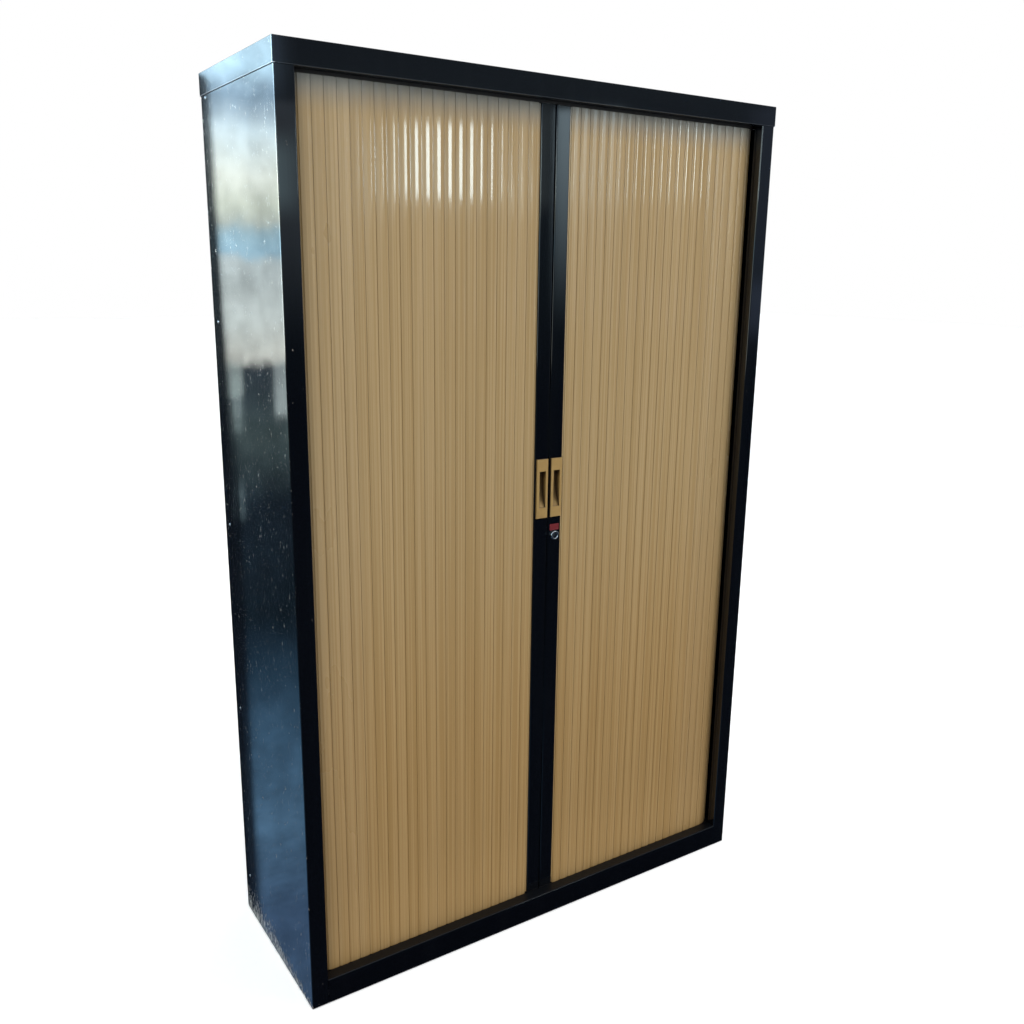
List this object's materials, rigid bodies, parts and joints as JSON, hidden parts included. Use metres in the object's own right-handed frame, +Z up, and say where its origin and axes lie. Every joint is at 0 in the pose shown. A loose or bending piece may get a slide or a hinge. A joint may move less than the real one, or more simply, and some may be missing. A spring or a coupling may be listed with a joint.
{
  "type": "roll front cupboard",
  "caption": "tall black steel cupboard with two beige slatted curtains that slide sideways round its front corners, recessed finger pulls, a cam lock, inner shelves and levelling feet",
  "frame": {"origin": "on the floor under the middle of the cupboard's bounding box", "axes": "+Z is up, -Y is the front with the two slatted curtains, +X is to the right as seen from the front"},
  "size_m": [1.254, 0.439, 1.98],
  "materials": {
    "case_paint": "gloss black enamel",
    "shelf_paint": "satin black enamel",
    "slat_plastic": "satin",
    "handle_plastic": "satin",
    "black_nylon": "matt",
    "zinc": "zinc plated",
    "chrome": "polished",
    "foot_plastic": "matt"
  },
  "bodies": {
    "case": {"back_left_upright": "shelf_paint", "back_right_upright": "shelf_paint", "base_pan": "case_paint", "bottom_track": "black_nylon", "ceiling_tray": "case_paint", "floor_tray": "case_paint", "foot_brackets": "zinc", "front_left_upright": "shelf_paint", "front_right_upright": "shelf_paint", "header_rail": "case_paint", "inner_back": "case_paint", "left_liner": "case_paint", "left_side": "case_paint", "outer_back": "case_paint", "plinth": "case_paint", "right_liner": "case_paint", "right_side": "case_paint", "shelf_1": "shelf_paint", "shelf_2": "shelf_paint", "shelf_3": "shelf_paint", "shelf_4": "shelf_paint", "shelf_clips": "zinc", "top_cap": "case_paint", "top_pan": "case_paint", "top_track": "black_nylon"},
    "left_leaf": {"left_stile": "case_paint", "left_stile_glides": "black_nylon", "left_anchor_strip": "slat_plastic", "left_handle": "handle_plastic", "left_slats": "slat_plastic", "lock_keeper": "zinc"},
    "right_leaf": {"right_stile": "case_paint", "right_stile_glides": "black_nylon", "right_anchor_strip": "slat_plastic", "right_handle": "handle_plastic", "right_slats": "slat_plastic", "lock_barrel": "chrome", "lock_clip": "zinc"},
    "lock_cylinder": {"lock_plug": "chrome", "lock_cam": "zinc", "lock_cam_screw": "zinc"},
    "front_left_foot": {"front_left_foot_pad": "foot_plastic", "front_left_foot_bolt": "zinc"},
    "front_right_foot": {"front_right_foot_pad": "foot_plastic", "front_right_foot_bolt": "zinc"},
    "back_left_foot": {"back_left_foot_pad": "foot_plastic", "back_left_foot_bolt": "zinc"},
    "back_right_foot": {"back_right_foot_pad": "foot_plastic", "back_right_foot_bolt": "zinc"}
  },
  "joints": [
    {"name": "left_leaf_slide", "type": "slide", "parent": "case", "child": "left_leaf", "axis": [-1, 0, 0], "range_m": [0, 0.52], "deforming": ["left_slats"]},
    {"name": "right_leaf_slide", "type": "slide", "parent": "case", "child": "right_leaf", "axis": [1, 0, 0], "range_m": [0, 0.52], "deforming": ["right_slats"]},
    {"name": "lock_turn", "type": "hinge", "parent": "right_leaf", "child": "lock_cylinder", "pos_m": [0.0195, -0.18, 0.991], "axis": [0, -1, 0], "range_deg": [0, 90]},
    {"name": "front_left_foot_turn", "type": "hinge", "parent": "case", "child": "front_left_foot", "pos_m": [-0.57, -0.1595, 0.02], "axis": [0, 0, 1], "continuous": true},
    {"name": "front_right_foot_turn", "type": "hinge", "parent": "case", "child": "front_right_foot", "pos_m": [0.57, -0.1595, 0.02], "axis": [0, 0, 1], "continuous": true},
    {"name": "back_left_foot_turn", "type": "hinge", "parent": "case", "child": "back_left_foot", "pos_m": [-0.57, 0.1755, 0.02], "axis": [0, 0, 1], "continuous": true},
    {"name": "back_right_foot_turn", "type": "hinge", "parent": "case", "child": "back_right_foot", "pos_m": [0.57, 0.1755, 0.02], "axis": [0, 0, 1], "continuous": true}
  ]
}
